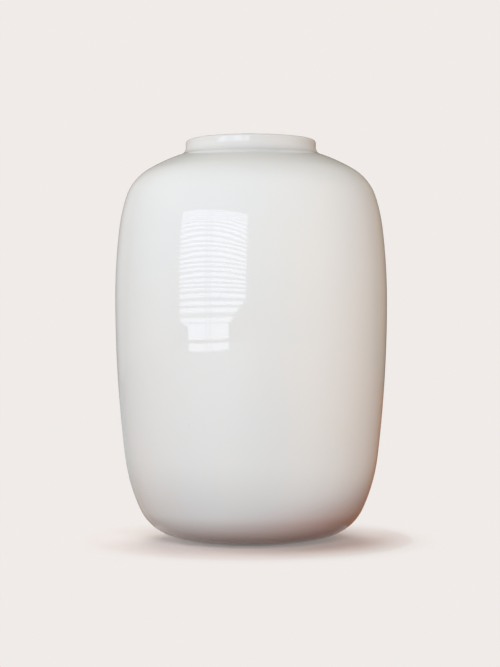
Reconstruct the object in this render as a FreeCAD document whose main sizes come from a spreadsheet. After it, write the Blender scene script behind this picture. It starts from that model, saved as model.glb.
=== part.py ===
import FreeCAD, Part
import os

import Sketcher

# A tall white glazed porcelain jar with a short straight collar, turned about the Z axis.
# The origin is the centre of the ring on which the jar stands. All lengths are millimetres.
# Two thrown bowls are luted together at half height, a thrown collar is luted onto the shoulder,
# and a glaze skin is fired over the outside, over the lip and over the inside.

DRIVING_SIZES = {
    # The whole jar, and where the widest line lies on its height
    "total_height": 367.0,
    "belly_radius": 125.0,
    "widest_share": 0.603,
    # The heel: its round, how far it stays above the ground and inside the belly,
    # and the gentler round that leads from it into the side
    "heel_round": 45.0,
    "heel_lift": 3.0,
    "heel_set": 18.2,
    "heel_blend_round": 162.0,
    "heel_blend_degrees": 24.6,
    # The shallow underside, from the heel in to the ring on which the jar stands,
    # and how far the ring's outer edge stays inside the belly
    "base_round": 162.0,
    "contact_set": 75.0,
    "contact_width": 6.0,
    "recess_depth": 1.5,
    "bare_width": 4.0,
    # The shoulder: its round, how far its centre hangs below the lip and stays inside the belly,
    # the gentler round that leads from the side into it, and the sloping roof above it
    "shoulder_round": 45.0,
    "shoulder_drop": 66.0,
    "shoulder_set": 8.0,
    "shoulder_blend_round": 159.0,
    "shoulder_blend_degrees": 17.6,
    "roof_round": 160.0,
    "roof_degrees": 59.1,
    # The collar, how far it stays inside the belly, and its lip
    "collar_set": 65.0,
    "collar_fillet": 8.0,
    "lip_round": 2.2,
    # Thicknesses of the fired glaze, the porcelain wall and the luting slip
    "glaze_thickness": 0.6,
    "wall_thickness": 5.0,
    "slip_thickness": 0.8,
    # The stepped joint of the two bowls: how far below the widest line, and how far it laps
    "joint_drop": 38.0,
    "lap_rise": 4.0,
}

# Arcs of the outline are named from the ground up. A turn is the angle of the outward normal
# above the horizontal, and two neighbouring arcs share the turn at which they touch.
OUTLINE_VALUES = {
    "widest_z": "Sizes.total_height * Sizes.widest_share",
    "heel_x": "Sizes.belly_radius - Sizes.heel_set - Sizes.heel_round",
    "heel_z": "Sizes.heel_lift + Sizes.heel_round",
    "heel_radius": "Sizes.heel_round",
    "heel_turn": "-Sizes.heel_blend_degrees * 1deg",
    "heel_blend_radius": "Sizes.heel_blend_round",
    "heel_blend_x": "heel_x + (heel_radius - heel_blend_radius) * cos(heel_turn)",
    "heel_blend_z": "heel_z + (heel_radius - heel_blend_radius) * sin(heel_turn)",
    # The underside's arc touches the heel and ends on the ground at the contact radius
    "contact_radius": "Sizes.belly_radius - Sizes.contact_set",
    "contact_reach": "hypot(contact_radius - heel_x; heel_z)",
    "contact_bearing": "atan2(-heel_z; contact_radius - heel_x)",
    "base_radius": "Sizes.base_round",
    "base_offset": "base_radius - heel_radius",
    "base_spread": "acos((contact_reach^2 + base_offset^2 - base_radius^2)"
                   " / (2 * contact_reach * base_offset))",
    "base_turn": "contact_bearing - base_spread + 180deg",
    "base_x": "heel_x - base_offset * cos(base_turn)",
    "base_z": "heel_z - base_offset * sin(base_turn)",
    "contact_turn": "-acos((contact_radius - base_x) / base_radius)",
    "glaze_turn": "-acos((contact_radius + Sizes.bare_width - base_x) / base_radius)",
    # The lower side touches the heel's blend and stands upright on the widest line
    "low_inset": "Sizes.belly_radius - heel_blend_x",
    "low_rise": "widest_z - heel_blend_z",
    "side_low_radius": "(low_inset^2 + low_rise^2 - heel_blend_radius^2)"
                       " / (2 * (low_inset - heel_blend_radius))",
    "side_low_x": "Sizes.belly_radius - side_low_radius",
    "side_low_z": "widest_z",
    "low_turn": "-atan2(low_rise; side_low_radius - low_inset)",
    "shoulder_x": "Sizes.belly_radius - Sizes.shoulder_set - Sizes.shoulder_round",
    "shoulder_z": "Sizes.total_height - Sizes.shoulder_drop",
    "shoulder_radius": "Sizes.shoulder_round",
    "shoulder_turn": "Sizes.shoulder_blend_degrees * 1deg",
    "shoulder_blend_radius": "Sizes.shoulder_blend_round",
    "shoulder_blend_x": "shoulder_x + (shoulder_radius - shoulder_blend_radius) * cos(shoulder_turn)",
    "shoulder_blend_z": "shoulder_z + (shoulder_radius - shoulder_blend_radius) * sin(shoulder_turn)",
    # The upper side touches the shoulder's blend in the same way
    "up_inset": "Sizes.belly_radius - shoulder_blend_x",
    "up_rise": "shoulder_blend_z - widest_z",
    "side_up_radius": "(up_inset^2 + up_rise^2 - shoulder_blend_radius^2)"
                      " / (2 * (up_inset - shoulder_blend_radius))",
    "side_up_x": "Sizes.belly_radius - side_up_radius",
    "side_up_z": "widest_z",
    "upright_turn": "0deg",
    "up_turn": "atan2(up_rise; side_up_radius - up_inset)",
    "roof_turn": "Sizes.roof_degrees * 1deg",
    "roof_radius": "Sizes.roof_round",
    "roof_x": "shoulder_x + (shoulder_radius - roof_radius) * cos(roof_turn)",
    "roof_z": "shoulder_z + (shoulder_radius - roof_radius) * sin(roof_turn)",
    # The fillet is hollow, so its radius counts as negative, and it ends upright on the collar
    "fillet_radius": "-Sizes.collar_fillet",
    "collar_radius": "Sizes.belly_radius - Sizes.collar_set",
    "fillet_x": "collar_radius - fillet_radius",
    "fillet_turn": "acos((fillet_x - roof_x) / (roof_radius - fillet_radius))",
    "fillet_z": "roof_z + (roof_radius - fillet_radius) * sin(fillet_turn)",
    # The depths of the wall's surfaces under the outline, and the rounds of the lip
    "outer_inset": "0",
    "body_inset": "outer_inset + Sizes.glaze_thickness",
    "inside_inset": "body_inset + Sizes.wall_thickness",
    "bore_inset": "inside_inset + Sizes.glaze_thickness",
    "lip_z": "Sizes.total_height - Sizes.lip_round",
    "lip_out_x": "collar_radius - Sizes.lip_round",
    "lip_out_z": "lip_z",
    "lip_out_radius": "Sizes.lip_round",
    "lip_in_x": "collar_radius - bore_inset + Sizes.lip_round",
    "lip_in_z": "lip_z",
    "lip_in_radius": "Sizes.lip_round",
    "top_turn": "90deg",
    "bore_turn": "180deg",
    "floor_turn": "-90deg",
    # The flat floor runs on from the lowest point of the inner heel, and the ring stands on the ground
    "floor_z": "heel_z - heel_radius + inside_inset",
    "ring_inner": "contact_radius - Sizes.contact_width",
    "ground_z": "0",
    # The joint of the bowls: the lower bowl's shelf and tongue, and the faces that the slip keeps apart
    "joint_turn": "-asin(Sizes.joint_drop / side_low_radius)",
    "joint_slip": "Sizes.slip_thickness / side_low_radius * 1rad",
    "tongue_turn": "joint_turn + Sizes.lap_rise / side_low_radius * 1rad",
    "skirt_turn": "joint_turn + joint_slip",
    "socket_turn": "tongue_turn + joint_slip",
    "tongue_inset": "body_inset + (Sizes.wall_thickness + Sizes.slip_thickness) / 2",
    "skirt_inset": "tongue_inset - Sizes.slip_thickness",
    # The collar's foot is square to the wall at the end of the roof, and the slip lies under it
    "seat_turn": "fillet_turn - Sizes.slip_thickness / roof_radius * 1rad",
}

# Each arc of the outline, from the ground up, with the turns at which it starts and ends
OUTLINE_ARCS = [
    ("base", "glaze_turn", "base_turn"),
    ("heel", "base_turn", "heel_turn"),
    ("heel_blend", "heel_turn", "low_turn"),
    ("side_low", "low_turn", "upright_turn"),
    ("side_up", "upright_turn", "up_turn"),
    ("shoulder_blend", "up_turn", "shoulder_turn"),
    ("shoulder", "shoulder_turn", "roof_turn"),
    ("roof", "roof_turn", "fillet_turn"),
    ("fillet", "fillet_turn", "upright_turn"),
]

# The surfaces of the wall lie at these depths under the outline, and the joint's step between them
OUTER = "Outline.outer_inset"
BODY = "Outline.body_inset"
INSIDE = "Outline.inside_inset"
BORE = "Outline.bore_inset"
TONGUE = "Outline.tongue_inset"
SKIRT = "Outline.skirt_inset"
AXIS = "0"
FULL_TURN = 360


def fill_sheet(name, cells):
    """Writes each cell's name and content on its own row, and makes the name its alias."""
    sheet = doc.addObject("Spreadsheet::Sheet", name)
    for row, (alias, content) in enumerate(cells.items(), start=1):
        sheet.set(f"A{row}", alias)
        sheet.set(f"B{row}", content)
        sheet.setAlias(f"B{row}", alias)
    doc.recompute()
    return sheet


def value(expression):
    """The number that an expression gives with the sheets as they are."""
    found = outline.evalExpression(expression)
    return float(getattr(found, "Value", found))


def spot(place):
    """The point on a sketch that a pair of expressions gives."""
    return FreeCAD.Vector(value(place[0]), value(place[1]), 0)


def corner(x, z):
    """A corner of a profile that lies on none of the outline's arcs."""
    return {"start": (x, z), "end": (x, z)}


def arc(name, inset, start, end):
    """One arc of the outline, moved in by an inset, from one turn to another."""
    radius = f"(Outline.{name}_radius - {inset})"
    centre_x, centre_z = f"Outline.{name}_x", f"Outline.{name}_z"
    places = [
        (f"{centre_x} + {radius} * cos(Outline.{turn})", f"{centre_z} + {radius} * sin(Outline.{turn})")
        for turn in (start, end)
    ]
    return {"start": places[0], "end": places[1], "centre": (centre_x, centre_z), "radius": f"abs{radius}"}


def climb(inset, start, end):
    """The arcs of the outline from a turn on one of them up to a turn on another."""
    names = [name for name, _, _ in OUTLINE_ARCS]
    (first, first_turn), (last, last_turn) = start, end
    run = [list(stretch) for stretch in OUTLINE_ARCS[names.index(first):names.index(last) + 1]]
    run[0][1] = first_turn
    run[-1][2] = last_turn
    return [arc(name, inset, low, high) for name, low, high in run]


def reverse(strokes):
    """The same stretch of a profile, drawn from its other end."""
    return [{**stroke, "start": stroke["end"], "end": stroke["start"]} for stroke in reversed(strokes)]


def lip(inset):
    """The two rounds of the lip, from the outside over to the inside."""
    return [arc("lip_out", inset, "upright_turn", "top_turn"), arc("lip_in", inset, "top_turn", "bore_turn")]


def add_line(sketch, start, end):
    """Draws a straight edge, and gives it with its first end, its last end and its starting place."""
    return sketch.addGeometry(Part.LineSegment(spot(start), spot(end))), 1, 2, start


def add_arc(sketch, stroke):
    """Draws an arc with its radius bound to the sheet, and gives the same facts as for a line."""
    start, end, centre = (spot(stroke[key]) for key in ("start", "end", "centre"))
    circle = Part.Circle(centre, FreeCAD.Vector(0, 0, 1), value(stroke["radius"]))
    forward = (start - centre).cross(end - centre).z > 0
    low, high = (start, end) if forward else (end, start)
    edge = sketch.addGeometry(Part.ArcOfCircle(circle, circle.parameter(low), circle.parameter(high)))
    held = sketch.addConstraint(Sketcher.Constraint("Radius", edge, circle.Radius))
    sketch.setExpression(f"Constraints[{held}]", stroke["radius"])
    return (edge, 1, 2, stroke["start"]) if forward else (edge, 2, 1, stroke["start"])


def draw_profile(sketch, strokes):
    """Draws a closed profile, with straight edges wherever two neighbouring strokes lie apart."""
    edges = []
    reached = strokes[-1]["end"]
    for stroke in strokes:
        if not spot(reached).isEqual(spot(stroke["start"]), FreeCAD.Base.Precision.confusion()):
            edges.append(add_line(sketch, reached, stroke["start"]))
        if "radius" in stroke:
            edges.append(add_arc(sketch, stroke))
        reached = stroke["end"]
    for (edge, first, last, place), following in zip(edges, edges[1:] + edges[:1]):
        sketch.addConstraint(Sketcher.Constraint("Coincident", edge, last, following[0], following[1]))
        for direction, expression in zip(("DistanceX", "DistanceY"), place):
            distance = Sketcher.Constraint(direction, -1, 1, edge, first, value(expression))
            held = sketch.addConstraint(distance)
            sketch.setExpression(f"Constraints[{held}]", expression)


def turned_piece(name, strokes):
    """A body turned about the Z axis from one closed profile on its upright plane."""
    body = doc.addObject("PartDesign::Body", name)
    body.Label = name
    sketch = body.newObject("Sketcher::SketchObject", f"{name}_profile")
    upright = next(plane for plane in body.Origin.OriginFeatures if plane.Role == "XZ_Plane")
    sketch.AttachmentSupport = [(upright, "")]
    sketch.MapMode = "FlatFace"
    draw_profile(sketch, strokes)
    turned = body.newObject("PartDesign::Revolution", f"{name}_turned")
    turned.Profile = sketch
    turned.ReferenceAxis = (sketch, ["V_Axis"])
    turned.Angle = FULL_TURN
    sketch.Visibility = False
    body.Placement = FreeCAD.Placement()
    return body


def make_lower_bowl():
    """The lower bowl: recessed underside, bare ring, outer wall, stepped rim, inner wall and floor."""
    return turned_piece("lower_bowl", [
        corner(AXIS, "Sizes.recess_depth"),
        corner("Outline.ring_inner - Sizes.recess_depth", "Sizes.recess_depth"),
        corner("Outline.ring_inner", "Outline.ground_z"),
        arc("base", OUTER, "contact_turn", "glaze_turn"),
        *climb(BODY, ("base", "glaze_turn"), ("side_low", "joint_turn")),
        arc("side_low", TONGUE, "joint_turn", "tongue_turn"),
        *reverse(climb(INSIDE, ("heel", "floor_turn"), ("side_low", "tongue_turn"))),
        corner(AXIS, "Outline.floor_z"),
    ])


def make_waist_slip():
    """The slip between the bowls: under the skirt, up the step and over the tongue."""
    return turned_piece("waist_slip", [
        arc("side_low", BODY, "joint_turn", "skirt_turn"),
        arc("side_low", SKIRT, "skirt_turn", "socket_turn"),
        arc("side_low", INSIDE, "socket_turn", "tongue_turn"),
        arc("side_low", TONGUE, "tongue_turn", "joint_turn"),
    ])


def make_upper_bowl():
    """The upper bowl, turned over: a skirt and socket for the joint, the shoulder and the neck hole."""
    return turned_piece("upper_bowl", [
        *climb(BODY, ("side_low", "skirt_turn"), ("roof", "seat_turn")),
        *reverse(climb(INSIDE, ("side_low", "socket_turn"), ("roof", "seat_turn"))),
        arc("side_low", SKIRT, "socket_turn", "skirt_turn"),
    ])


def make_collar_slip():
    """The slip under the collar's foot, square to the wall."""
    return turned_piece("collar_slip", [
        arc("roof", BODY, "seat_turn", "fillet_turn"),
        arc("roof", INSIDE, "fillet_turn", "seat_turn"),
    ])


def make_mouth_collar():
    """The collar: a flared foot, an upright ring and a rounded lip."""
    return turned_piece("mouth_collar", [
        arc("fillet", BODY, "fillet_turn", "upright_turn"),
        *lip(BODY),
        arc("fillet", INSIDE, "upright_turn", "fillet_turn"),
    ])


def make_outer_glaze():
    """The glaze outside: from the bare ring up to the collar and over the lip to the edge of the bore."""
    whole = (("base", "glaze_turn"), ("fillet", "upright_turn"))
    return turned_piece("outer_glaze", [
        *climb(OUTER, *whole),
        *lip(OUTER),
        *reverse(lip(BODY)),
        *reverse(climb(BODY, *whole)),
    ])


def make_inner_glaze():
    """The glaze inside: from the edge of the bore down the wall and over the floor."""
    whole = (("heel", "floor_turn"), ("fillet", "upright_turn"))
    return turned_piece("inner_glaze", [
        corner("Outline.collar_radius - Outline.bore_inset", "Outline.lip_z"),
        *reverse(climb(BORE, *whole)),
        corner(AXIS, "Outline.floor_z + Sizes.glaze_thickness"),
        corner(AXIS, "Outline.floor_z"),
        *climb(INSIDE, *whole),
        corner("Outline.collar_radius - Outline.inside_inset", "Outline.lip_z"),
    ])


def check_document(pieces):
    """Stops before anything is written if an object failed or a piece has no sound single solid."""
    for item in doc.Objects:
        if "Invalid" in item.State or "Error" in item.State:
            raise RuntimeError(f"{item.Label} failed: {item.State}")
    for piece in pieces:
        shape = piece.Shape
        if shape.isNull() or not shape.isValid() or len(shape.Solids) != 1:
            raise RuntimeError(f"{piece.Label} has no sound solid")


doc = FreeCAD.newDocument("jar")
fill_sheet("Sizes", {alias: str(size) for alias, size in DRIVING_SIZES.items()})
outline = fill_sheet("Outline", {alias: f"={formula}" for alias, formula in OUTLINE_VALUES.items()})
pieces = [
    make_lower_bowl(),
    make_waist_slip(),
    make_upper_bowl(),
    make_collar_slip(),
    make_mouth_collar(),
    make_outer_glaze(),
    make_inner_glaze(),
]
doc.recompute()
check_document(pieces)

os.makedirs("parts", exist_ok=True)
for piece in pieces:
    piece.Shape.exportStep(f"parts/{piece.Label}.step")
    bounds = piece.Shape.BoundBox
    print(f"{piece.Label}: radius {bounds.XMax:.2f}, z {bounds.ZMin:.2f} to {bounds.ZMax:.2f},"
          f" volume {piece.Shape.Volume:.0f}")
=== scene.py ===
import math

import bpy
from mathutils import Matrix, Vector


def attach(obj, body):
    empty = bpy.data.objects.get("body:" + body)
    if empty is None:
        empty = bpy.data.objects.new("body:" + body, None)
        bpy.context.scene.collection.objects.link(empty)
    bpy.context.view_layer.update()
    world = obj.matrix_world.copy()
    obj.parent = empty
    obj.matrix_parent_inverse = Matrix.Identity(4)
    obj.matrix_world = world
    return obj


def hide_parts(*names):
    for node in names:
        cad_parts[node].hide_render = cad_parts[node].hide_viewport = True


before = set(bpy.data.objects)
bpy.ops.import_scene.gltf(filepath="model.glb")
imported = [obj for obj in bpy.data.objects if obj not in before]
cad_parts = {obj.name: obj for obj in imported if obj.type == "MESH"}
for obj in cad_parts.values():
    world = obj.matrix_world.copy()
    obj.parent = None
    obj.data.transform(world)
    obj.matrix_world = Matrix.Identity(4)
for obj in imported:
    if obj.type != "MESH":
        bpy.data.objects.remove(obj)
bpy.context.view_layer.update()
print("frame loaded with", len(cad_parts), "nodes")

# The jar's outline in metres, from the ground up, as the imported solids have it.
# A turn is the angle of the outward normal above the horizontal, in radians.
outline = {
    "height": 0.367,
    "belly": 0.125,  # radius
    "widestShare": 0.603,  # of the height
    "heelRound": 0.045,
    "heelLift": 0.003,
    "heelSet": 0.0182,  # inside the belly, as shoulderSet is
    "heelBlendRound": 0.162,
    "heelBlendTurn": math.radians(-24.6),
    "baseRound": 0.162,
    "contact": 0.050,  # outer radius of the ring it stands on
    "contactWidth": 0.006,
    "bareWidth": 0.004,  # clay left bare outside that ring
    "recess": 0.0015,  # depth inside that ring
    "shoulderRound": 0.045,
    "shoulderDrop": 0.066,
    "shoulderSet": 0.008,
    "shoulderBlendRound": 0.159,
    "shoulderBlendTurn": math.radians(17.6),
    "roofRound": 0.160,
    "roofTurn": math.radians(59.1),
    "collar": 0.060,  # radius
    "collarFillet": 0.008,
    "lipRound": 0.0022,
    "glaze": 0.0006,
    "wall": 0.005,
    "jointDrop": 0.038,  # of the waist joint, under the widest line
    "lapRise": 0.004,  # of the joint's tongue
    "slip": 0.0008,
    "coarsestTurn": math.radians(9),  # between two points of an arc
    "sharedEnd": 0.00002,  # points nearer than this are one
}


def stepInward(centre, radius, newRadius, turn):
    # the centre of an arc that touches another one from inside at a turn
    return (centre[0] + (radius - newRadius) * math.cos(turn),
            centre[1] + (radius - newRadius) * math.sin(turn))


def touchingArcs(o):
    # each arc is ((centre x, centre z), radius, first turn, last turn), and neighbours share a turn
    widest = o["height"] * o["widestShare"]
    heel = (o["belly"] - o["heelSet"] - o["heelRound"], o["heelLift"] + o["heelRound"])
    heelBlend = stepInward(heel, o["heelRound"], o["heelBlendRound"], o["heelBlendTurn"])
    reach = math.hypot(o["contact"] - heel[0], heel[1])
    offset = o["baseRound"] - o["heelRound"]
    spread = math.acos((reach ** 2 + offset ** 2 - o["baseRound"] ** 2) / (2 * reach * offset))
    baseTurn = math.atan2(-heel[1], o["contact"] - heel[0]) - spread + math.pi
    base = stepInward(heel, o["heelRound"], o["baseRound"], baseTurn)
    contactTurn = -math.acos((o["contact"] - base[0]) / o["baseRound"])
    glazeTurn = -math.acos((o["contact"] + o["bareWidth"] - base[0]) / o["baseRound"])

    def sideArc(blend, blendRadius):
        # the long arc that touches a blend and stands upright on the widest line
        inset, rise = o["belly"] - blend[0], abs(widest - blend[1])
        radius = (inset ** 2 + rise ** 2 - blendRadius ** 2) / (2 * (inset - blendRadius))
        return (o["belly"] - radius, widest), radius, math.atan2(rise, radius - inset)

    sideLow, sideLowRadius, lowTurn = sideArc(heelBlend, o["heelBlendRound"])
    shoulder = (o["belly"] - o["shoulderSet"] - o["shoulderRound"], o["height"] - o["shoulderDrop"])
    shoulderBlend = stepInward(shoulder, o["shoulderRound"], o["shoulderBlendRound"],
                               o["shoulderBlendTurn"])
    sideUp, sideUpRadius, upTurn = sideArc(shoulderBlend, o["shoulderBlendRound"])
    roof = stepInward(shoulder, o["shoulderRound"], o["roofRound"], o["roofTurn"])
    filletX = o["collar"] + o["collarFillet"]
    filletTurn = math.acos((filletX - roof[0]) / (o["roofRound"] + o["collarFillet"]))
    fillet = (filletX, roof[1] + (o["roofRound"] + o["collarFillet"]) * math.sin(filletTurn))
    lipZ = o["height"] - o["lipRound"]
    throughWall = 2 * o["glaze"] + o["wall"]
    return {
        "bare": (base, o["baseRound"], contactTurn, glazeTurn),
        "base": (base, o["baseRound"], glazeTurn, baseTurn),
        "heel": (heel, o["heelRound"], baseTurn, o["heelBlendTurn"]),
        "heelBlend": (heelBlend, o["heelBlendRound"], o["heelBlendTurn"], -lowTurn),
        "sideLow": (sideLow, sideLowRadius, -lowTurn, 0.0),
        "sideUp": (sideUp, sideUpRadius, 0.0, upTurn),
        "shoulderBlend": (shoulderBlend, o["shoulderBlendRound"], upTurn, o["shoulderBlendTurn"]),
        "shoulder": (shoulder, o["shoulderRound"], o["shoulderBlendTurn"], o["roofTurn"]),
        "roof": (roof, o["roofRound"], o["roofTurn"], filletTurn),
        "fillet": (fillet, -o["collarFillet"], filletTurn, 0.0),
        "lipOut": ((o["collar"] - o["lipRound"], lipZ), o["lipRound"], 0.0, math.pi / 2),
        "lipIn": ((o["collar"] - throughWall + o["lipRound"], lipZ), o["lipRound"], math.pi / 2, math.pi),
    }


arcs = touchingArcs(outline)
outerClimb = ["base", "heel", "heelBlend", "sideLow", "sideUp",
              "shoulderBlend", "shoulder", "roof", "fillet"]
innerClimb = outerClimb[1:]
straightDown = -math.pi / 2


def arcPoints(name, inset, step, first=None, last=None):
    # points along one arc moved in by an inset, each with its outward normal
    centre, radius, start, end = arcs[name]
    start = start if first is None else first
    end = end if last is None else last
    radius -= inset
    count = max(2, math.ceil(abs(radius * (end - start)) / step),
                math.ceil(abs(end - start) / outline["coarsestTurn"]))
    points = []
    for i in range(count + 1):
        turn = start + (end - start) * i / count
        points.append((centre[0] + radius * math.cos(turn), centre[1] + radius * math.sin(turn),
                       math.cos(turn), math.sin(turn)))
    return points


def climbPoints(names, inset, step, first=None):
    points = arcPoints(names[0], inset, step, first=first)
    for name in names[1:]:
        points += arcPoints(name, inset, step)
    return points


def rounded(corner, before, after, radius, count=5):
    # a small round in place of a corner between two straight stretches of a profile
    c, a, b = Vector(corner), Vector(before), Vector(after)
    toA, toB = (a - c).normalized(), (b - c).normalized()
    half = toA.angle(toB) / 2
    reach = radius / math.tan(half)
    middle = c + (toA + toB).normalized() * radius / math.sin(half)
    p, q = c + toA * reach - middle, c + toB * reach - middle
    points = []
    for i in range(count + 1):
        d = p.lerp(q, i / count).normalized()
        points.append((middle.x + d.x * radius, middle.y + d.y * radius, d.x, d.y))
    return points


def joined(points):
    # neighbouring arcs share an end, which is kept once
    kept = [points[0]]
    for p in points[1:]:
        if math.dist(p[:2], kept[-1][:2]) > outline["sharedEnd"]:
            kept.append(p)
    return kept


def still(points):
    # points that take neither the hand's unevenness nor the throwing rings
    return [(*p, 0.0, 0.0) for p in points]


def addObject(name, data):
    added = bpy.data.objects.new(name, data)
    bpy.context.scene.collection.objects.link(added)
    return added


def addReading(mesh, name, numbers):
    mesh.attributes.new(name, "FLOAT", "POINT").data.foreach_set("value", numbers)


def plug(tree, socket, content):
    # a socket takes another node's output or a plain value
    if hasattr(content, "links"):
        tree.links.new(content, socket)
    else:
        socket.default_value = content


def mathNode(tree, operation, a, b=0.0):
    node = tree.nodes.new("ShaderNodeMath")
    node.operation = operation
    plug(tree, node.inputs[0], a)
    plug(tree, node.inputs[1], b)
    return node.outputs[0]


def vectorNode(tree, operation, a, b=None):
    node = tree.nodes.new("ShaderNodeVectorMath")
    node.operation = operation
    plug(tree, node.inputs[0], a)
    if b is not None:
        plug(tree, node.inputs["Scale" if operation == "SCALE" else 1], b)
    return node.outputs["Value" if operation in ("LENGTH", "DOT_PRODUCT") else "Vector"]


def partsNode(tree, content):
    # the X, Y and Z of a vector
    node = tree.nodes.new("ShaderNodeSeparateXYZ")
    plug(tree, node.inputs[0], content)
    return node.outputs


# The wheel: a node tree that turns a profile about the Z axis. The profile is a mesh of points in order,
# and each point says how much of the hand's unevenness and of the throwing rings it takes.
wheelHand = {
    "pressedOut": 0.35,  # taken off, so that the noise never swells outward
    "blurScale": 9.0,
    "blurSeed": 4.0,
    "pressScale": 22.0,
    "pressSeed": 8.0,
    "weld": 0.000001,  # closes the seam and the poles
}


def makeWheel():
    tree = bpy.data.node_groups.new("turned on the wheel", "GeometryNodeTree")
    face = tree.interface
    face.new_socket("Profile", in_out="INPUT", socket_type="NodeSocketGeometry")
    sizes = [("Segments", "Int"), ("Unevenness", "Float"), ("Unevenness Size", "Float"),
             ("Ring Height", "Float"), ("Ring Pitch", "Float"), ("Ring Blur", "Float"),
             ("Seed", "Float"), ("Sharp Edge", "Float"), ("Finish", "Material")]
    for name, kind in sizes:
        face.new_socket(name, in_out="INPUT", socket_type="NodeSocket" + kind)
    face.new_socket("Turned", in_out="OUTPUT", socket_type="NodeSocketGeometry")
    nodes = tree.nodes
    asked, finish = nodes.new("NodeGroupInput").outputs, nodes.new("NodeGroupOutput")

    def put(socket, content):
        plug(tree, socket, content)

    def calc(operation, a, b=0.0):
        return mathNode(tree, operation, a, b)

    def combine(x, y, z):
        node = nodes.new("ShaderNodeCombineXYZ")
        for socket, content in zip(node.inputs, (x, y, z)):
            put(socket, content)
        return node.outputs[0]

    def named(attribute, kind):
        node = nodes.new("GeometryNodeInputNamedAttribute")
        node.data_type = kind
        node.inputs["Name"].default_value = attribute
        return node.outputs["Attribute"]

    counted = nodes.new("GeometryNodeAttributeDomainSize")
    put(counted.inputs["Geometry"], asked["Profile"])
    perRow = calc("ADD", asked["Segments"], 1.0)
    grid = nodes.new("GeometryNodeMeshGrid")
    put(grid.inputs["Vertices X"], counted.outputs["Point Count"])
    put(grid.inputs["Vertices Y"], perRow)
    index = nodes.new("GeometryNodeInputIndex").outputs["Index"]
    # half a step is added, so that a whole number never rounds down to the row before
    row = calc("FLOOR", calc("DIVIDE", calc("ADD", index, 0.5), perRow))
    column = calc("SUBTRACT", index, calc("MULTIPLY", row, perRow))
    angle = calc("DIVIDE", calc("MULTIPLY", column, math.tau), asked["Segments"])
    cosine, sine = calc("COSINE", angle), calc("SINE", angle)

    def fromProfile(content, kind="FLOAT"):
        node = nodes.new("GeometryNodeSampleIndex")
        node.data_type = kind
        put(node.inputs["Geometry"], asked["Profile"])
        put(node.inputs["Value"], content)
        put(node.inputs["Index"], row)
        return node.outputs["Value"]

    def swung(parts):
        return combine(calc("MULTIPLY", parts[0], cosine), calc("MULTIPLY", parts[0], sine), parts[2])

    position = nodes.new("GeometryNodeInputPosition").outputs[0]
    spot = swung(partsNode(tree, fromProfile(position, "FLOAT_VECTOR")))
    away = swung(partsNode(tree, fromProfile(named("outward", "FLOAT_VECTOR"), "FLOAT_VECTOR")))
    uneven, ringed, along = (fromProfile(named(title, "FLOAT"))
                             for title in ("uneven", "ringed", "along"))

    def noise(scale, extraSeed):
        node = nodes.new("ShaderNodeTexNoise")
        node.noise_dimensions = "4D"
        put(node.inputs["Vector"], vectorNode(tree, "SCALE", spot, scale))
        put(node.inputs["W"], calc("ADD", asked["Seed"], extraSeed))
        node.inputs["Scale"].default_value = 1.0
        node.inputs["Detail"].default_value = 1.0
        return calc("SUBTRACT", node.outputs[0], 0.5)

    # the hand only ever presses the surface in, so the piece stays inside its solid
    pressedIn = calc("SUBTRACT", noise(asked["Unevenness Size"], 0.0), wheelHand["pressedOut"])
    swell = calc("MULTIPLY", calc("MULTIPLY", pressedIn, uneven), asked["Unevenness"])
    # the rings climb in a spiral, as a finger leaves them, and blur where the hand pressed less
    phase = calc("ADD", calc("DIVIDE", calc("MULTIPLY", along, math.tau), asked["Ring Pitch"]), angle)
    blur = noise(wheelHand["blurScale"], wheelHand["blurSeed"])
    phase = calc("ADD", phase, calc("MULTIPLY", blur, asked["Ring Blur"]))
    pressed = calc("ADD", noise(wheelHand["pressScale"], wheelHand["pressSeed"]), 1.0)
    ring = calc("MULTIPLY", calc("MULTIPLY", calc("SINE", phase), pressed),
                calc("MULTIPLY", ringed, asked["Ring Height"]))
    shift = vectorNode(tree, "SCALE", away, calc("ADD", swell, ring))
    moved = nodes.new("GeometryNodeSetPosition")
    put(moved.inputs["Geometry"], grid.outputs["Mesh"])
    put(moved.inputs["Position"], vectorNode(tree, "ADD", spot, shift))
    closed = nodes.new("GeometryNodeMergeByDistance")
    put(closed.inputs["Geometry"], moved.outputs["Geometry"])
    closed.inputs["Distance"].default_value = wheelHand["weld"]
    bend = nodes.new("GeometryNodeInputMeshEdgeAngle")
    sharp = nodes.new("FunctionNodeCompare")
    sharp.operation = "GREATER_THAN"
    put(sharp.inputs[0], bend.outputs["Unsigned Angle"])
    put(sharp.inputs[1], asked["Sharp Edge"])
    edged = nodes.new("GeometryNodeStoreNamedAttribute")
    edged.data_type, edged.domain = "BOOLEAN", "EDGE"
    edged.inputs["Name"].default_value = "sharp_edge"
    put(edged.inputs["Geometry"], closed.outputs["Geometry"])
    put(edged.inputs["Value"], sharp.outputs["Result"])
    smooth = nodes.new("GeometryNodeSetShadeSmooth")
    put(smooth.inputs["Geometry"], edged.outputs["Geometry"])
    real = nodes.new("GeometryNodeRealizeInstances")
    put(real.inputs["Geometry"], smooth.outputs["Geometry"])
    dressed = nodes.new("GeometryNodeSetMaterial")
    put(dressed.inputs["Geometry"], real.outputs["Geometry"])
    put(dressed.inputs["Material"], asked["Finish"])
    put(finish.inputs["Turned"], dressed.outputs["Geometry"])
    return tree


wheel = makeWheel()


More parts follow.
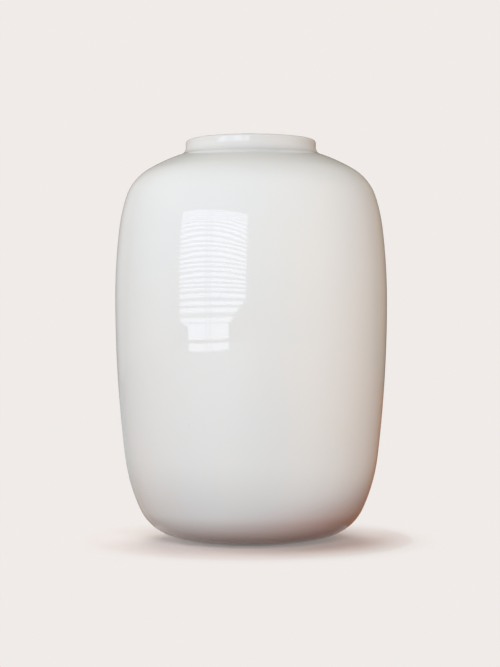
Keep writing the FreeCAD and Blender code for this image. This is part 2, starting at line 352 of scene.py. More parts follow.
def turnPiece(name, points, finish, settings):
    # points are (x, z, normal x, normal z, uneven share, ringed share), in order along the profile
    points = joined(points)
    mesh = bpy.data.meshes.new(name + " profile")
    mesh.from_pydata([(p[0], 0.0, p[1]) for p in points],
                     [(i, i + 1) for i in range(len(points) - 1)], [])
    along, travelled = [], 0.0
    for i, p in enumerate(points):
        travelled += math.dist(p[:2], points[i - 1][:2]) if i else 0.0
        along.append(travelled)
    mesh.attributes.new("outward", "FLOAT_VECTOR", "POINT").data.foreach_set(
        "vector", [c for p in points for c in (p[2], 0.0, p[3])])
    addReading(mesh, "uneven", [p[4] for p in points])
    addReading(mesh, "ringed", [p[5] for p in points])
    addReading(mesh, "along", along)
    profile = addObject(name + " profile", mesh)
    turning = profile.modifiers.new("wheel", "NODES")
    turning.node_group = wheel
    sockets = {item.name: item.identifier for item in wheel.interface.items_tree
               if item.in_out == "INPUT"}
    for title, content in settings.items():
        turning[sockets[title]] = content
    turning[sockets["Finish"]] = finish
    bpy.context.view_layer.update()
    turned = bpy.data.meshes.new_from_object(profile.evaluated_get(bpy.context.evaluated_depsgraph_get()))
    profile.modifiers.remove(turning)
    bpy.data.objects.remove(profile)
    bpy.data.meshes.remove(mesh)
    turned.name = name
    print("turned", name, "with", len(turned.polygons), "faces")
    return addObject(name, turned)


# Finishes. Every one reads Object coordinates, which are the jar's own, in metres, so that a scale counts
# the cells of a pattern in a metre. A span is the part of a pattern that is spread over the whole range.

def newFinish(name):
    finish = bpy.data.materials.new(name)
    finish.use_nodes = True
    tree = finish.node_tree
    coordinate = tree.nodes.new("ShaderNodeTexCoord").outputs["Object"]
    return finish, tree, tree.nodes["Principled BSDF"], coordinate


def stretchNode(tree, coordinate, stretch):
    node = tree.nodes.new("ShaderNodeMapping")
    node.inputs["Scale"].default_value = stretch
    tree.links.new(coordinate, node.inputs["Vector"])
    return node.outputs["Vector"]


def noiseNode(tree, coordinate, scale, detail=2.0, stretch=None):
    node = tree.nodes.new("ShaderNodeTexNoise")
    node.inputs["Scale"].default_value = scale
    node.inputs["Detail"].default_value = detail
    if stretch:
        coordinate = stretchNode(tree, coordinate, stretch)
    tree.links.new(coordinate, node.inputs["Vector"])
    return node.outputs["Fac"]


def rangeNode(tree, content, span, result=(0.0, 1.0), smooth=True):
    node = tree.nodes.new("ShaderNodeMapRange")
    node.interpolation_type = "SMOOTHSTEP" if smooth else "LINEAR"
    tree.links.new(content, node.inputs["Value"])
    for title, number in zip(("From Min", "From Max", "To Min", "To Max"), (*span, *result)):
        node.inputs[title].default_value = number
    return node.outputs["Result"]


def mixNode(tree, share, first, second):
    node = tree.nodes.new("ShaderNodeMix")
    node.data_type = "RGBA"
    tree.links.new(share, node.inputs["Factor"])
    for socket, content in ((node.inputs["A"], first), (node.inputs["B"], second)):
        plug(tree, socket, content if hasattr(content, "links") else (*content, 1.0))
    return node.outputs["Result"]


def bumpNode(tree, height, distance):
    node = tree.nodes.new("ShaderNodeBump")
    node.inputs["Strength"].default_value = 1.0
    node.inputs["Distance"].default_value = distance
    tree.links.new(height, node.inputs["Height"])
    return node.outputs["Normal"]


def dressShader(tree, shader, tone, roughness, normal):
    for title, content in (("Base Color", tone), ("Roughness", roughness), ("Normal", normal)):
        tree.links.new(content, shader.inputs[title])


whiteGlaze = {
    "milk": (0.800, 0.790, 0.768),
    "cool": (0.775, 0.782, 0.775),
    "coolScale": 7.0,  # a slow drift from milk to cool
    "coolSpan": (0.35, 0.65),
    "warm": (0.790, 0.762, 0.722),
    "warmScale": 21.0,  # faint clouds on top of it
    "warmDetail": 3.0,
    "warmSpan": (0.55, 0.80),
    "warmShare": (0.0, 0.35),
    # painted shade on the collar, greyer than the milk tone
    "shadedThinGlaze": (0.695, 0.682, 0.662),
    "shadedThinAbove": (0.350, 0.357),  # heights over which the painted shade and the thinner glaze come in
    "speck": (0.46, 0.38, 0.30),
    "speckScale": 75.0,
    "speckEdge": (0.012, 0.026),  # from full to nothing, in cells
    "speckRarity": 0.93,  # share of the cells that stay clean
    "rough": (0.012, 0.030),
    "roughScale": 35.0,
    "roughDetail": 4.0,
    "roughSpan": (0.3, 0.7),
    "peel": 0.0000035,  # height of the orange peel
    "peelScale": 260.0,
    "peelDetail": 1.0,
    "ior": 1.52,
}


def makeWhiteGlaze():
    glaze = whiteGlaze
    finish, tree, shader, coordinate = newFinish("white glaze")
    drift = rangeNode(tree, noiseNode(tree, coordinate, glaze["coolScale"]), glaze["coolSpan"])
    tone = mixNode(tree, drift, glaze["milk"], glaze["cool"])
    cloud = noiseNode(tree, coordinate, glaze["warmScale"], glaze["warmDetail"])
    cloud = rangeNode(tree, cloud, glaze["warmSpan"], glaze["warmShare"])
    tone = mixNode(tree, cloud, tone, glaze["warm"])
    # the collar is painted greyer: painted shade, where the glaze also lies thinner
    shadedThinGlaze = rangeNode(tree, partsNode(tree, coordinate)["Z"], glaze["shadedThinAbove"])
    tone = mixNode(tree, shadedThinGlaze, tone, glaze["shadedThinGlaze"])
    # a few iron specks, under half a millimetre
    cells = tree.nodes.new("ShaderNodeTexVoronoi")
    cells.inputs["Scale"].default_value = glaze["speckScale"]
    tree.links.new(coordinate, cells.inputs["Vector"])
    dot = rangeNode(tree, cells.outputs["Distance"], glaze["speckEdge"], (1.0, 0.0))
    split = tree.nodes.new("ShaderNodeSeparateColor")
    tree.links.new(cells.outputs["Color"], split.inputs["Color"])
    chosen = mathNode(tree, "GREATER_THAN", split.outputs["Red"], glaze["speckRarity"])
    tone = mixNode(tree, mathNode(tree, "MULTIPLY", dot, chosen), tone, glaze["speck"])
    haze = noiseNode(tree, coordinate, glaze["roughScale"], glaze["roughDetail"])
    peel = noiseNode(tree, coordinate, glaze["peelScale"], glaze["peelDetail"])
    dressShader(tree, shader, tone, rangeNode(tree, haze, glaze["roughSpan"], glaze["rough"]),
                bumpNode(tree, peel, glaze["peel"]))
    shader.inputs["IOR"].default_value = glaze["ior"]
    return finish


barePorcelain = {
    "body": (0.70, 0.665, 0.60),
    "grain": (0.60, 0.55, 0.475),
    "grainScale": 900.0,
    "grainDetail": 5.0,
    "grainSpan": (0.45, 0.72),
    "flash": (0.66, 0.49, 0.34),
    "flashRadius": (0.0516, 0.0541),  # from clay to the glaze's edge
    "flashShare": (0.0, 0.85),
    "rough": (0.62, 0.84),
    "bump": 0.00003,
    "bumpScale": 1400.0,
    "bumpDetail": 4.0,
}


def makeBarePorcelain():
    clay = barePorcelain
    finish, tree, shader, coordinate = newFinish("bare porcelain")
    grain = noiseNode(tree, coordinate, clay["grainScale"], clay["grainDetail"])
    grain = rangeNode(tree, grain, clay["grainSpan"])
    tone = mixNode(tree, grain, clay["body"], clay["grain"])
    # the wiped clay warms in the kiln in a thin band beside the glaze
    radius = vectorNode(tree, "LENGTH", stretchNode(tree, coordinate, (1.0, 1.0, 0.0)))
    flash = rangeNode(tree, radius, clay["flashRadius"], clay["flashShare"])
    tone = mixNode(tree, flash, tone, clay["flash"])
    fine = noiseNode(tree, coordinate, clay["bumpScale"], clay["bumpDetail"])
    dressShader(tree, shader, tone, rangeNode(tree, grain, (0.0, 1.0), clay["rough"]),
                bumpNode(tree, fine, clay["bump"]))
    return finish


lutingSlip = {
    "paste": (0.66, 0.61, 0.53),
    "smear": (0.58, 0.52, 0.44),
    "smearScale": 300.0,
    "smearDetail": 4.0,
    "smearStretch": (1.0, 1.0, 3.0),
    "smearSpan": (0.35, 0.65),
    "rough": (0.7, 0.9),
    "roughSpan": (0.3, 0.7),
    "bump": 0.00006,
}


def makeLutingSlip():
    slip = lutingSlip
    finish, tree, shader, coordinate = newFinish("luting slip")
    smear = noiseNode(tree, coordinate, slip["smearScale"], slip["smearDetail"], slip["smearStretch"])
    tone = mixNode(tree, rangeNode(tree, smear, slip["smearSpan"]), slip["paste"], slip["smear"])
    dressShader(tree, shader, tone, rangeNode(tree, smear, slip["roughSpan"], slip["rough"]),
                bumpNode(tree, smear, slip["bump"]))
    return finish


finishes = {
    "white_glaze": makeWhiteGlaze(),
    "bare_porcelain": makeBarePorcelain(),
    "luting_slip": makeLutingSlip(),
}
print("finishes made:", ", ".join(finishes))

# The glaze outside: the surface that shows, over the lip to the edge of the bore, and its hidden back
glazeOutside = {
    "step": 0.0022,
    "backStep": 0.008,  # on the hidden back
    "edgeRound": 0.00045,
    "edgeSteps": 5,  # in the bead at the glaze's edge
    "edgeGap": 0.0002,  # kept free between the bead and the next point
    "edgeHeight": 0.01,  # above this every point stays
    "evenBelow": 0.002,  # height with no unevenness
    "evenFade": 0.02,
    "wheel": {
        "Segments": 256,
        "Unevenness": 0.00022,
        "Unevenness Size": 9.0,
        "Ring Height": 0.000004,
        "Ring Pitch": 0.017,
        "Ring Blur": 3.0,
        "Seed": 3.0,
        "Sharp Edge": math.radians(40),
    },
}


def makeGlazeOutside():
    piece = glazeOutside

    def layer(inset, step):
        return (climbPoints(outerClimb, inset, step) + arcPoints("lipOut", inset, piece["step"])
                + arcPoints("lipIn", inset, piece["step"]))

    def weigh(points, ringed):
        # the unevenness fades out at the glaze's edge beside the ring, which meets the bare clay
        rows = []
        for p in points:
            fromEdge = min(1.0, max(0.0, (p[1] - piece["evenBelow"]) / piece["evenFade"]))
            rows.append((*p, fromEdge, ringed * fromEdge))
        return rows

    # the fired edge of the glaze beside the bare ring is a small bead
    centre, radius, edgeTurn, _ = arcs["base"]
    bead = []
    for i in range(piece["edgeSteps"] + 1):
        swing = math.pi / 2 * (1 - i / piece["edgeSteps"])
        turn = edgeTurn + piece["edgeRound"] / radius * (1 - math.sin(swing))
        reach = radius - piece["edgeRound"] * (1 - math.cos(swing))
        bead.append((centre[0] + reach * math.cos(turn), centre[1] + reach * math.sin(turn),
                     math.cos(turn), math.sin(turn)))
    shown = [p for p in layer(0.0, piece["step"])
             if p[0] > bead[-1][0] + piece["edgeGap"] or p[1] > piece["edgeHeight"]]
    hidden = layer(outline["glaze"], piece["backStep"])
    points = weigh(bead + shown, 1.0) + weigh(hidden[::-1], 0.0)
    return turnPiece("glaze_outside", points + points[:1], finishes["white_glaze"], piece["wheel"])


# The glaze inside: soft throwing rings under it, and the ridge where the two bowls were luted
glazeInside = {
    "step": 0.0016,
    "backStep": 0.008,
    "floorSteps": 24,
    "collarSteps": 3,
    "seamRidge": 0.00045,
    "seamWidth": 0.006,
    "evenFade": 0.03,
    "wheel": {
        "Segments": 224,
        "Unevenness": 0.0004,
        "Unevenness Size": 12.0,
        "Ring Height": 0.00022,
        "Ring Pitch": 0.0105,
        "Ring Blur": 1.6,
        "Seed": 11.0,
        "Sharp Edge": math.radians(40),
    },
}


def makeGlazeInside():
    piece = glazeInside
    back, bore = outline["glaze"] + outline["wall"], 2 * outline["glaze"] + outline["wall"]
    lipZ = outline["height"] - outline["lipRound"]
    seamZ = outline["height"] * outline["widestShare"] - outline["jointDrop"]
    shown = climbPoints(innerClimb, bore, piece["step"], first=straightDown)
    floorEdge, floorZ, collarFoot = shown[0][0], shown[0][1], shown[-1][1]
    count = piece["floorSteps"]
    floor = [(floorEdge * i / count, floorZ, 0.0, -1.0) for i in range(count)]
    count = piece["collarSteps"]
    collar = [(outline["collar"] - bore, collarFoot + (lipZ - collarFoot) * i / count, 1.0, 0.0)
              for i in range(1, count + 1)]

    def weigh(x, z, nx, nz):
        # the unevenness fades out towards the lip
        fade = min(1.0, max(0.0, (lipZ - z) / piece["evenFade"]))
        ridge = piece["seamRidge"] * math.exp(-((z - seamZ) / piece["seamWidth"]) ** 2)
        return (x - ridge, z, nx, nz, fade, fade ** 2)

    hidden = climbPoints(innerClimb, back, piece["backStep"], first=straightDown)
    hidden = [(0.0, hidden[0][1], 0.0, -1.0)] + hidden + [(outline["collar"] - back, lipZ, 1.0, 0.0)]
    points = [weigh(*p) for p in floor + shown + collar][::-1] + still(hidden)
    return turnPiece("glaze_inside", points + points[:1], finishes["white_glaze"], piece["wheel"])


# The lower bowl, whose wiped ring and trimmed recess are the only bare clay that shows
bowlBelow = {
    "step": 0.008,
    "bareStep": 0.0008,
    "edgeRound": 0.0006,
    "trimStep": 0.0005,
    "trimInset": 0.001,  # the trimming ends this far inside the recess
    "trimStill": 0.002,  # radius with no unevenness
    "trimFade": 0.006,
    "wheel": {
        "Segments": 192,
        "Unevenness": 0.00008,
        "Unevenness Size": 40.0,
        "Ring Height": 0.00006,
        "Ring Pitch": 0.0024,
        "Ring Blur": 0.8,
        "Seed": 23.0,
        "Sharp Edge": math.radians(40),
    },
}


def makeBowlBelow():
    piece, o = bowlBelow, outline
    inner = o["contact"] - o["contactWidth"]
    top, foot, outer = (inner - o["recess"], o["recess"]), (inner, 0.0), (o["contact"], 0.0)
    # the trimming rings of the recess fade out towards the middle
    trimmed = top[0] - piece["trimInset"]
    count = round(trimmed / piece["trimStep"])
    points = []
    for i in range(count + 1):
        x = trimmed * i / count
        points.append((x, o["recess"], 0.0, -1.0, 1.0 if x > piece["trimStill"] else 0.0,
                       min(1.0, x / piece["trimFade"])))
    # the bare clay's first points lie in the rounding of the ring's outer corner
    bare = arcPoints("bare", 0.0, piece["bareStep"])
    turns = ((top, points[-1][:2], foot), (foot, top, outer), (outer, foot, bare[-1][:2]))
    for corner, before, after in turns:
        points += still(rounded(corner, before, after, piece["edgeRound"]))
    points += still(bare[2:])
    # up the outside to the stepped joint, over its tongue and down the inside
    inside = o["glaze"] + o["wall"]
    sideRadius = arcs["sideLow"][1]
    jointTurn = -math.asin(o["jointDrop"] / sideRadius)
    tongueTurn = jointTurn + o["lapRise"] / sideRadius
    tongueInset = o["glaze"] + (o["wall"] + o["slip"]) / 2
    outside = climbPoints(["base", "heel", "heelBlend"], o["glaze"], piece["step"])
    outside += arcPoints("sideLow", o["glaze"], piece["step"], last=jointTurn)
    outside += arcPoints("sideLow", tongueInset, piece["step"], first=jointTurn, last=tongueTurn)
    within = climbPoints(["heel", "heelBlend"], inside, piece["step"], first=straightDown)
    within += arcPoints("sideLow", inside, piece["step"], last=tongueTurn)
    points += still(outside + within[::-1] + [(0.0, within[0][1], 0.0, 1.0)])
    return turnPiece("bowl_below", points, finishes["bare_porcelain"], piece["wheel"])


glazeOut = makeGlazeOutside()
glazeIn = makeGlazeInside()
bowlLow = makeBowlBelow()

for piece, node, slot in ((glazeOut, "outer_glaze", "white_glaze"),
                          (glazeIn, "inner_glaze", "white_glaze"),
                          (bowlLow, "lower_bowl", "bare_porcelain")):
    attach(piece, "root")
    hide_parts(node)

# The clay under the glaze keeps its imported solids
for node, slot in (("upper_bowl", "bare_porcelain"), ("mouth_collar", "bare_porcelain"),
                   ("waist_slip", "luting_slip"), ("collar_slip", "luting_slip")):
    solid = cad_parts[node]
    solid.data.materials.clear()
    solid.data.materials.append(finishes[slot])
print("pieces placed on the frame")

# The floor and the air around it are one pale tone, and the floor keeps the jar's shadow
studio = {
    "pale": (0.871, 0.831, 0.807),
    "bounce": (0.11, 0.06, 0.045),
    "floorShare": 0.75,  # of lit floor under the jar, where the rest glows
    "shadowSpan": (0.09, 0.18),  # radii over which the shadow fades out
    "floorSize": 6.0,
    "fill": (0.07, 0.065, 0.060),
}


def seenNode(tree):
    # 1 for what the camera, a reflection or a clear piece sees
    path = tree.nodes.new("ShaderNodeLightPath")
    total = path.outputs["Is Camera Ray"]
    for title in ("Is Glossy Ray", "Is Transmission Ray"):
        total = mathNode(tree, "MAXIMUM", total, path.outputs[title])
    return total


def blendNode(tree, share, first, second):
    node = tree.nodes.new("ShaderNodeMixShader")
    for socket, content in zip(node.inputs, (share, first, second)):
        tree.links.new(content, socket)
    return node.outputs[0]


def stageFinish(name):
    # a finish without its usual shader, and the socket that takes the new one
    finish, tree, shader, coordinate = newFinish(name)
    tree.nodes.remove(shader)
    return finish, tree, coordinate, tree.nodes["Material Output"].inputs["Surface"]


def corners(wide, tall):
    x, y = wide / 2, tall / 2
    return [(-x, -y, 0.0), (x, -y, 0.0), (x, y, 0.0), (-x, y, 0.0)]


def ringOf(radius, z, segments):
    return [(radius * math.cos(math.tau * j / segments), radius * math.sin(math.tau * j / segments), z)
            for j in range(segments)]


def makeWorld():
    world = bpy.data.worlds.new("studio air")
    world.use_nodes = True
    bpy.context.scene.world = world
    tree = world.node_tree
    tree.links.new(mixNode(tree, seenNode(tree), studio["fill"], studio["pale"]),
                   tree.nodes["Background"].inputs["Color"])


def makeFloor():
    mesh = bpy.data.meshes.new("floor")
    mesh.from_pydata(corners(studio["floorSize"], studio["floorSize"]), [], [(0, 1, 2, 3)])
    floor = addObject("floor", mesh)
    finish, tree, coordinate, surface = stageFinish("pale floor")
    shaders = []
    for kind, tone in (("BsdfDiffuse", "pale"), ("Emission", "pale"), ("BsdfDiffuse", "bounce")):
        node = tree.nodes.new("ShaderNode" + kind)
        node.inputs["Color"].default_value = (*studio[tone], 1.0)
        shaders.append(node.outputs[0])
    lit, glow, bounce = shaders
    share = rangeNode(tree, vectorNode(tree, "LENGTH", coordinate), studio["shadowSpan"],
                      (1.0 - studio["floorShare"], 1.0))
    tree.links.new(blendNode(tree, seenNode(tree), bounce, blendNode(tree, share, lit, glow)), surface)
    mesh.materials.append(finish)


# A window-shaped panel. Bearings turn from the camera towards its right, and lifts rise from level,
# in degrees. On the panel, places across and up run from -1 to 1.
window = {
    "bearing": -31.6,
    "lift": 10.1,
    "away": 1.5,
    "wide": 1.605,
    "tall": 0.84,
    "colour": (3.1, 3.3, 3.95),
    "slats": 28.0,  # down the whole panel
    "slatSpan": (-0.7, 0.5),  # of their wave, from shade to light
    "slatShade": 0.2,
    "slatEnd": 0.03,  # half of the fade at the step
    "plainShade": 0.95,  # below the step
    "barMiddle": -0.087,
    "barGap": 0.056,  # from the middle to each bar
    "barWidth": 0.026,
    "barShade": 0.55,
    "barSoft": 0.5,  # share of the bar's width
    "stepLow": -0.733,  # where the lower corners step in
    "stepHigh": -0.526,
    "leftStep": -0.71,
    "leftRise": (-0.04, 0.02),  # about the step
    "rightStep": 0.50,
    "edgeSoft": 0.05,
    "gapLow": -0.912,  # a dark gap across, near the foot
    "gapHigh": -0.876,
    "gapSoft": 0.4,  # share of the gap's half width
}
# A soft warm strip behind the jar on the right, which lifts its edge
strip = {
    "bearing": 142.0,
    "lift": 4.0,
    "away": 2.4,
    "wide": 1.0,
    "tall": 1.7,
    "colour": (0.29, 0.18, 0.07),
}
# Soft glows on the inside of a tent around the jar
tent = {
    "radius": 2.9,
    "middle": 0.2,
    "rings": 24,
    "segments": 48,
    "air": (0.0, 0.0, 0.0),
    "glows": {
        "left": {"bearing": -105.0, "lift": 10.0, "spread": 60.0, "colour": (0.60, 0.66, 0.64)},
        "right": {"bearing": 80.0, "lift": 10.0, "spread": 55.0, "colour": (0.08, 0.07, 0.06)},
        "farRight": {"bearing": 120.0, "lift": 5.0, "spread": 40.0, "colour": (0.07, 0.05, 0.03)},
        "backRight": {"bearing": 155.0, "lift": 5.0, "spread": 30.0, "colour": (0.20, 0.16, 0.12)},
        "backLeft": {"bearing": -155.0, "lift": 5.0, "spread": 30.0, "colour": (0.36, 0.35, 0.36)},
        "back": {"bearing": 180.0, "lift": 45.0, "spread": 50.0, "colour": (0.15, 0.12, 0.06)},
        "top": {"bearing": 0.0, "lift": 90.0, "spread": 60.0, "colour": (0.40, 0.29, 0.15)},
    },
}
# Lamps that light the jar softly and leave no mark in its glaze
lamps = {
    "lampFront": {"bearing": 8.0, "lift": 16.0, "away": 2.6, "wide": 1.3,
                  "power": 60.0, "colour": (0.88, 0.945, 1.0)},
    "lampLeft": {"bearing": -80.0, "lift": 6.0, "away": 2.6, "wide": 1.3,
                 "power": 35.0, "colour": (1.0, 0.97, 0.97)},
    "lampFar": {"bearing": -110.0, "lift": 20.0, "away": 2.6, "wide": 1.3,
                "power": 15.4, "colour": (1.0, 1.0, 0.98)},
    "lampWarm": {"bearing": 80.0, "lift": 3.0, "away": 2.6, "wide": 1.3,
                 "power": 9.0, "colour": (1.0, 0.44, 0.13)},
    "lampRight": {"bearing": 148.0, "lift": 22.0, "away": 2.6, "wide": 1.6,
                  "power": 21.0, "colour": (1.0, 0.91, 0.80)},
    "lampLow": {"bearing": 50.0, "lift": -6.0, "away": 1.0, "wide": 0.2,
                "power": 1.0, "colour": (1.0, 0.78, 0.50)},
    "lampTop": {"bearing": 30.0, "lift": 78.0, "away": 2.6, "wide": 1.3,
                "power": 3.3, "colour": (1.0, 0.97, 0.89)},
    "lampBack": {"bearing": -172.0, "lift": 38.0, "away": 2.6, "wide": 2.0,
                 "power": 40.0, "colour": (1.0, 0.98, 0.96)},
}
# A narrow beam down the mouth, so that the inside shows from above
mouthBeam = {
    "height": 1.4,
    "angle": math.radians(5.4),
    "blend": 0.6,  # softness of its rim
    "wide": 0.02,
    "power": 90.0,
    "colour": (1.0, 0.98, 0.95),
}
# A card on the floor for reflections only, cool on the left and warm on the right
tableCard = {
    "inner": 0.10,
    "outerShare": 0.985,
    "segments": 96,
    "rise": 0.0005,
    "blend": (-0.3, 0.3),  # from the left tones to the right ones
    "nearSpan": (0.10, 0.7),  # radii from the near tones to the far ones
    "left": (0.45, 0.51, 0.51),
    "right": (0.31, 0.12, 0.04),
    "nearLeft": (0.46, 0.42, 0.38),
    "nearRight": (0.38, 0.15, 0.06),
}
# A low tinted film around the foot warms and dims the lamps' light on the heel, and nothing sees it
footFilm = {
    "radius": 0.148,
    "first": -125.0,
    "last": 165.0,
    "panels": 48,
    "low": 0.025,
    "high": 0.150,
    "fades": {"rise": 0.5, "along": 0.76},  # shares of its height and length where it starts to clear
    "blend": (-0.02, 0.14),  # from the left tint to the right one
    "left": (0.88, 0.62, 0.55),
    "right": (0.36, 0.09, 0.03),
    "clear": (1.0, 1.0, 1.0),
}


def towards(bearing, lift):
    b, l = math.radians(bearing), math.radians(lift)
    return Vector((math.sin(b) * math.cos(l), -math.cos(b) * math.cos(l), math.sin(l)))


def aim(holder, sizes):
    # places a panel or a lamp on its bearing and turns it to the jar
    facing = towards(sizes["bearing"], sizes["lift"])
    holder.location = Vector((0.0, 0.0, tent["middle"])) + facing * sizes["away"]
    holder.rotation_euler = (-facing).to_track_quat("-Z", "Y").to_euler()


def glowingStage(name, verts, faces, fill):
    # something that shows in the jar's glaze, but not to the camera
    mesh = bpy.data.meshes.new(name)
    mesh.from_pydata(verts, [], faces)
    glowing = addObject(name, mesh)
    finish, tree, coordinate, surface = stageFinish(name)
    glow = tree.nodes.new("ShaderNodeEmission")
    share = fill(tree, coordinate, glow)
    shown = glow.outputs[0]
    if share:
        # where the share is nought, what stands behind shows through
        shown = blendNode(tree, share, tree.nodes.new("ShaderNodeBsdfTransparent").outputs[0], shown)
    tree.links.new(shown, surface)
    mesh.materials.append(finish)
    glowing.visible_camera = glowing.visible_diffuse = glowing.visible_shadow = False
    return glowing


def makePane(name, sizes, fill):
    aim(glowingStage(name, corners(sizes["wide"], sizes["tall"]), [(3, 2, 1, 0)], fill), sizes)


def fillWindow(tree, coordinate, glow):
    w = window

    def calc(operation, a, b=0.0):
        return mathNode(tree, operation, a, b)

    def apart(content, middle):
        return calc("ABSOLUTE", calc("SUBTRACT", content, middle))

    def around(middle, share):
        return middle * (1 - share), middle * (1 + share)

    parts = partsNode(tree, coordinate)
    across, up = calc("DIVIDE", parts["X"], w["wide"] / 2), calc("DIVIDE", parts["Y"], w["tall"] / 2)
    wave = calc("SINE", calc("MULTIPLY", up, w["slats"] * math.pi))
    slat = rangeNode(tree, wave, w["slatSpan"], (w["slatShade"], 1.0))
    # the slats end at the step, and the panel is plain below it
    slatted = rangeNode(tree, up, (w["stepLow"] - w["slatEnd"], w["stepLow"] + w["slatEnd"]))
    plain = calc("MULTIPLY", calc("SUBTRACT", 1.0, slatted), w["plainShade"])
    tone = calc("ADD", calc("MULTIPLY", slat, slatted), plain)
    # two bars stand beside each other
    fromBar = apart(apart(across, w["barMiddle"]), w["barGap"])
    bar = rangeNode(tree, fromBar, around(w["barWidth"], w["barSoft"]), (w["barShade"], 1.0))
    tone = calc("MULTIPLY", tone, bar)
    # the lower corners step in
    low, high = w["leftRise"]
    rightEdge = rangeNode(tree, up, (w["stepLow"], w["stepHigh"]), (w["rightStep"], 1.0), smooth=False)
    leftEdge = rangeNode(tree, up, (w["stepLow"] + low, w["stepLow"] + high), (w["leftStep"], -1.0))
    inside = calc("MULTIPLY", rangeNode(tree, calc("SUBTRACT", rightEdge, across), (0.0, w["edgeSoft"])),
                  rangeNode(tree, calc("SUBTRACT", across, leftEdge), (0.0, w["edgeSoft"])))
    fromGap = apart(up, (w["gapLow"] + w["gapHigh"]) / 2)
    gap = rangeNode(tree, fromGap, around((w["gapHigh"] - w["gapLow"]) / 2, w["gapSoft"]))
    glow.inputs["Color"].default_value = (*w["colour"], 1.0)
    tree.links.new(tone, glow.inputs["Strength"])
    return calc("MULTIPLY", inside, gap)


def fillStrip(tree, coordinate, glow):
    # fades from its middle line to both sides
    glow.inputs["Color"].default_value = (*strip["colour"], 1.0)
    fromMiddle = partsNode(tree, vectorNode(tree, "ABSOLUTE", coordinate))["X"]
    return rangeNode(tree, fromMiddle, (0.0, strip["wide"] / 2), (1.0, 0.0))


def fillTableCard(tree, coordinate, glow):
    card = tableCard
    share = rangeNode(tree, partsNode(tree, coordinate)["X"], card["blend"])
    inward = rangeNode(tree, vectorNode(tree, "LENGTH", coordinate), card["nearSpan"], (1.0, 0.0))
    tone = mixNode(tree, inward, mixNode(tree, share, card["left"], card["right"]),
                   mixNode(tree, share, card["nearLeft"], card["nearRight"]))
    tree.links.new(tone, glow.inputs["Color"])


def fillTent(tree, coordinate, glow):
    direction = vectorNode(tree, "NORMALIZE", coordinate)
    total = tent["air"]
    for patch in tent["glows"].values():
        facing = vectorNode(tree, "DOT_PRODUCT", direction, towards(patch["bearing"], patch["lift"]))
        share = rangeNode(tree, facing, (math.cos(math.radians(patch["spread"])), 1.0))
        total = vectorNode(tree, "ADD", vectorNode(tree, "SCALE", patch["colour"], share), total)
    tree.links.new(total, glow.inputs["Color"])


def makeTableCard():
    count = tableCard["segments"]
    verts = (ringOf(tableCard["inner"], tableCard["rise"], count)
             + ringOf(tent["radius"] * tableCard["outerShare"], tableCard["rise"], count))
    faces = [(j, count + j, count + (j + 1) % count, (j + 1) % count) for j in range(count)]
    glowingStage("table card", verts, faces, fillTableCard)


def makeTent():
    rings, segments, radius = tent["rings"], tent["segments"], tent["radius"]
    verts = [(0.0, 0.0, -radius), (0.0, 0.0, radius)]
    for i in range(1, rings):
        lift = math.pi * i / rings - math.pi / 2
        verts += ringOf(radius * math.cos(lift), radius * math.sin(lift), segments)
    faces = []
    for j in range(segments):
        k = (j + 1) % segments
        faces += [(0, 2 + j, 2 + k), (1, len(verts) - segments + k, len(verts) - segments + j)]
        for below in range(2, len(verts) - segments, segments):
            above = below + segments
            faces.append((below + j, above + j, above + k, below + k))
    glowingStage("studio tent", verts, faces, fillTent).location = (0.0, 0.0, tent["middle"])


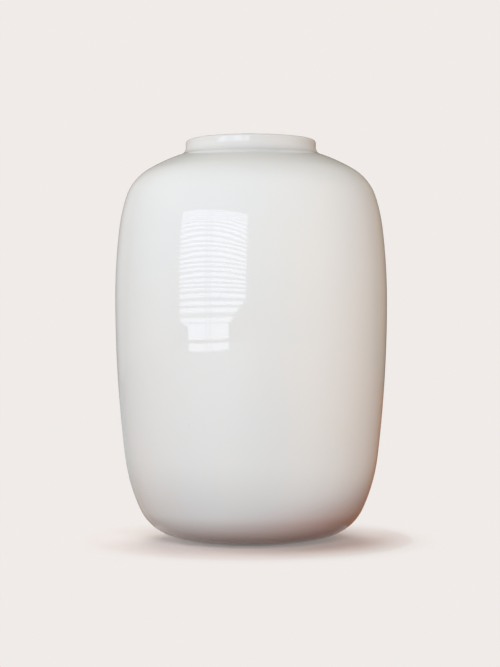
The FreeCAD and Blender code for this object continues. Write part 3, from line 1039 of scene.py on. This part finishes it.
def makeFootFilm():
    film, count = footFilm, footFilm["panels"]
    shares = [i / count for i in range(count + 1)]
    bottom, top = [], []
    for share in shares:
        spot = towards(film["first"] + (film["last"] - film["first"]) * share, 0.0) * film["radius"]
        bottom.append((spot.x, spot.y, 0.0))
        top.append((spot.x, spot.y, film["low"] + (film["high"] - film["low"]) * share ** 2))
    mesh = bpy.data.meshes.new("foot film")
    mesh.from_pydata(bottom + top, [], [(i, i + 1, count + 2 + i, count + 1 + i) for i in range(count)])
    addReading(mesh, "rise", [0.0] * len(bottom) + [1.0] * len(top))
    addReading(mesh, "along", shares * 2)
    finish, tree, coordinate, surface = stageFinish("foot film")
    share = rangeNode(tree, partsNode(tree, coordinate)["X"], film["blend"])
    tint = mixNode(tree, share, film["left"], film["right"])
    # it clears towards its top and towards its far end
    for title, start in film["fades"].items():
        reading = tree.nodes.new("ShaderNodeAttribute")
        reading.attribute_name = title
        tint = mixNode(tree, rangeNode(tree, reading.outputs["Fac"], (start, 1.0)), tint, film["clear"])
    sheer = tree.nodes.new("ShaderNodeBsdfTransparent")
    tree.links.new(tint, sheer.inputs["Color"])
    tree.links.new(sheer.outputs[0], surface)
    mesh.materials.append(finish)
    holder = addObject("foot film", mesh)
    holder.visible_camera = holder.visible_glossy = holder.visible_diffuse = False


def addLight(name, kind, sizes):
    light = bpy.data.lights.new(name, kind)
    light.energy, light.color = sizes["power"], sizes["colour"]
    holder = addObject(name, light)
    holder.visible_camera = holder.visible_glossy = False
    return light, holder


def makeLamps():
    for name, lamp in lamps.items():
        light, holder = addLight(name, "AREA", lamp)
        light.shape, light.size = "DISK", lamp["wide"]
        aim(holder, lamp)


def makeMouthBeam():
    light, holder = addLight("mouth beam", "SPOT", mouthBeam)
    light.spot_size, light.spot_blend = mouthBeam["angle"], mouthBeam["blend"]
    light.shadow_soft_size = mouthBeam["wide"]
    holder.location = (0.0, 0.0, mouthBeam["height"])


makeWorld()
makeFloor()
makePane("window panel", window, fillWindow)
makePane("warm strip", strip, fillStrip)
makeLamps()
makeMouthBeam()
makeFootFilm()
makeTableCard()
makeTent()
print("studio lit by a window panel,", len(lamps), "lamps and", len(tent["glows"]), "glows")

# The camera stands level with the jar's middle, as in the photograph
view = {
    "away": 1.513,
    "height": 0.1841,
    "sensor": 36.0,
    "lens": 88.5,
    "roll": -0.002,
    "shiftX": -0.0018,
    "shiftY": 0.0089,
}


def makeCamera():
    camera = addObject("camera", bpy.data.cameras.new("camera"))
    camera.location = (0.0, -view["away"], view["height"])
    camera.rotation_euler = (math.pi / 2, 0.0, 0.0)
    camera.rotation_euler.rotate_axis("Z", view["roll"])
    camera.data.sensor_width, camera.data.lens = view["sensor"], view["lens"]
    camera.data.shift_x, camera.data.shift_y = view["shiftX"], view["shiftY"]
    return camera


bpy.context.scene.camera = makeCamera()
bpy.context.scene.view_settings.view_transform = "Standard"
print("camera set")
